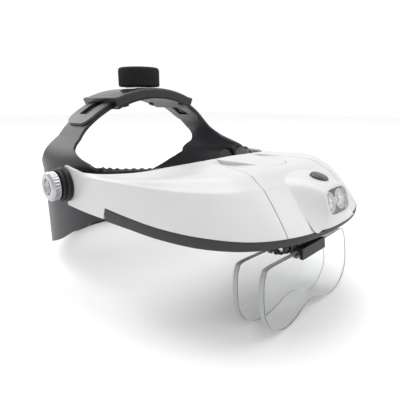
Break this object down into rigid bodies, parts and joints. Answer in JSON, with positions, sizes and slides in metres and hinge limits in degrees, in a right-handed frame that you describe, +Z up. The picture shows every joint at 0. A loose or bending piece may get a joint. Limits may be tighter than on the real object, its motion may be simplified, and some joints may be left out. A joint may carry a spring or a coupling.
{
  "type": "head visor magnifier",
  "caption": "Head band with crown ratchet and a tilting visor that carries a lamp, battery box and a hinged bracket with magnifying plates.",
  "frame": {"origin": "on the floor, under the middle of the object's box, between the plates at the front and the nape of the band at the back", "axes": "+Z up, -Y the way the wearer looks, +X the wearer's left"},
  "size_m": [0.205, 0.2699, 0.158],
  "materials": {
    "band_plastic": "fine moulded grain",
    "pad_foam": "soft ribbed pad",
    "housing_plastic": "satin moulded",
    "knob_rubber": "ribbed, matt",
    "tongue_plastic": "moulded, matt",
    "disc_plastic": "moulded",
    "knob_metal": "turned and polished",
    "steel": "plated",
    "visor_white": "satin white",
    "trim_charcoal": "moulded",
    "button_black": "gloss",
    "cell_jacket": "printed-free sleeve",
    "board_green": "solder mask",
    "led_body": "clear epoxy over phosphor",
    "reflector_chrome": "mirror",
    "lamp_clear": "clear",
    "plate_clear": "clear acrylic"
  },
  "bodies": {
    "headband": {"headband": "band_plastic", "crown_strap_left": "band_plastic", "crown_strap_right": "band_plastic", "forehead_pad": "pad_foam", "housing_cover": "housing_plastic", "housing_base": "housing_plastic", "housing_screws": "steel", "detent_spring": "steel", "pivot_bolts": "steel", "pivot_bushes": "disc_plastic", "pivot_washers": "disc_plastic"},
    "ratchet_knob": {"ratchet_knob": "knob_rubber", "ratchet_pinion": "steel", "knob_screw": "steel"},
    "tongue_left": {"rack_tongue_left": "tongue_plastic"},
    "tongue_right": {"rack_tongue_right": "tongue_plastic"},
    "side_knob_left": {"side_knob_left": "knob_metal"},
    "side_knob_right": {"side_knob_right": "knob_metal"},
    "visor": {"visor_shell": "visor_white", "lower_trim": "trim_charcoal", "front_cover": "visor_white", "underplate": "trim_charcoal", "visor_screws": "steel", "battery_tray": "trim_charcoal", "batteries": "cell_jacket", "battery_contacts": "steel", "battery_springs": "steel", "button_switch": "trim_charcoal", "led_board": "board_green", "leds": "led_body", "reflectors": "reflector_chrome", "lamp_window": "lamp_clear", "lamp_bezel": "visor_white", "bracket_mount": "trim_charcoal", "hinge_pin": "steel"},
    "battery_cover": {"battery_cover": "visor_white"},
    "push_button": {"push_button": "button_black", "button_spring": "steel"},
    "lens_bracket": {"lens_bracket": "trim_charcoal"},
    "lens_front": {"lens_front": "plate_clear"},
    "lens_rear": {"lens_rear": "plate_clear"}
  },
  "joints": [
    {"name": "visor_tilt", "type": "hinge", "parent": "headband", "child": "visor", "pos_m": [0, 0.02, 0.076], "axis": [-1, 0, 0], "range_deg": [0, 75]},
    {"name": "knob_turn", "type": "hinge", "parent": "headband", "child": "ratchet_knob", "pos_m": [0, 0.053, 0.15], "axis": [0, 0, 1], "range_deg": [-125, 125]},
    {"name": "tongue_left_slide", "type": "hinge", "parent": "headband", "child": "tongue_left", "pos_m": [0, 0.053, 0.0431], "axis": [0, 1, 0], "range_deg": [-7, 7]},
    {"name": "tongue_right_slide", "type": "hinge", "parent": "headband", "child": "tongue_right", "pos_m": [0, 0.053, 0.0431], "axis": [0, 1, 0], "range_deg": [-7, 7]},
    {"name": "side_knob_left_turn", "type": "hinge", "parent": "headband", "child": "side_knob_left", "pos_m": [0.099, 0.02, 0.076], "axis": [1, 0, 0], "range_deg": [0, 360]},
    {"name": "side_knob_right_turn", "type": "hinge", "parent": "headband", "child": "side_knob_right", "pos_m": [-0.099, 0.02, 0.076], "axis": [-1, 0, 0], "range_deg": [0, 360]},
    {"name": "battery_cover_slide", "type": "slide", "parent": "visor", "child": "battery_cover", "axis": [0, 0.9991, 0.0417], "range_m": [0, 0.012]},
    {"name": "button_press", "type": "slide", "parent": "visor", "child": "push_button", "axis": [0, 0.3256, -0.9455], "range_m": [0, 0.001], "stiffness_N_per_m": 400},
    {"name": "bracket_tilt", "type": "hinge", "parent": "visor", "child": "lens_bracket", "pos_m": [0, -0.1115, 0.0483], "axis": [-1, 0, 0], "range_deg": [-10, 70]},
    {"name": "lens_front_slide", "type": "slide", "parent": "lens_bracket", "child": "lens_front", "axis": [0, -0.1219, -0.9925], "range_m": [0, 0.012]},
    {"name": "lens_rear_slide", "type": "slide", "parent": "lens_bracket", "child": "lens_rear", "axis": [0, -0.1219, -0.9925], "range_m": [0, 0.012]}
  ],
  "couplings": [
    {"joint": "tongue_left_slide", "follows": "knob_turn", "ratio": 0.05313},
    {"joint": "tongue_right_slide", "follows": "knob_turn", "ratio": -0.05435}
  ]
}
